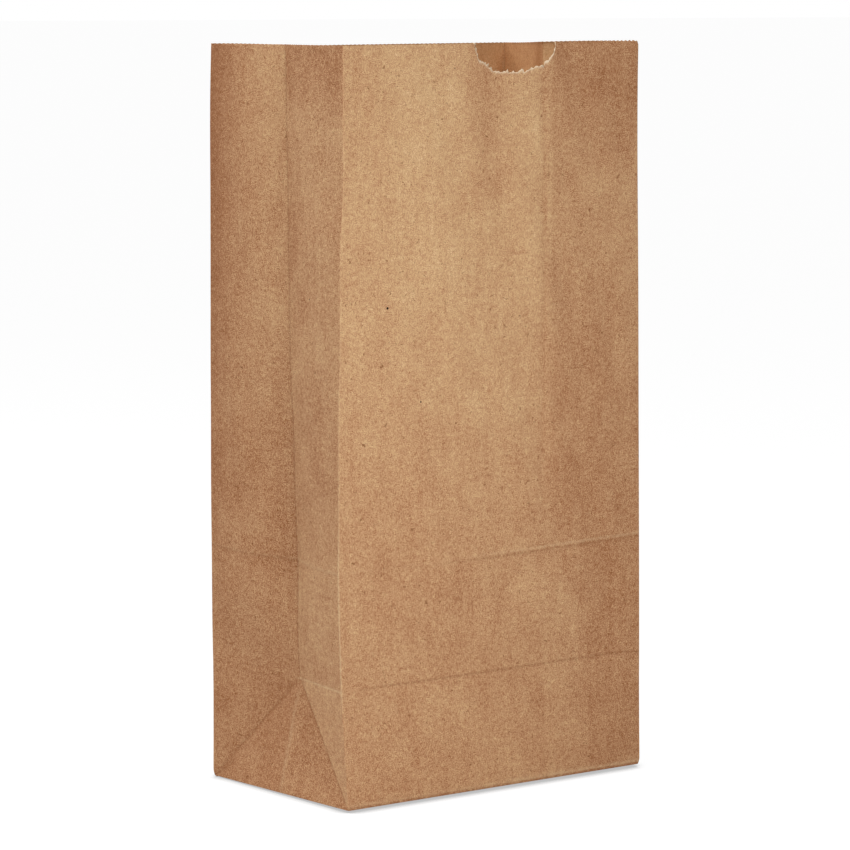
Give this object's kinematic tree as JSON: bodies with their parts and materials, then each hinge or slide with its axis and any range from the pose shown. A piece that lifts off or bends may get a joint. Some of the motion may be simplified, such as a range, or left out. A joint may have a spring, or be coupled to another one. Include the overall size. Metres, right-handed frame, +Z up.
{
  "type": "brown paper lunch bag",
  "caption": "Plain brown paper bag that stands open on a flat block bottom, with pleated side gussets, a toothed mouth and a thumb notch.",
  "frame": {"origin": "middle of the base, on the surface that the bag stands on", "axes": "+Z up through the mouth; the front panel with the thumb notch faces -Y; X runs along the front panel"},
  "size_m": [0.1311, 0.0822, 0.2524],
  "materials": {
    "brown_paper": "matt unbleached brown paper"
  },
  "bodies": {
    "root": {"paper_bag": "brown_paper"}
  },
  "joints": []
}
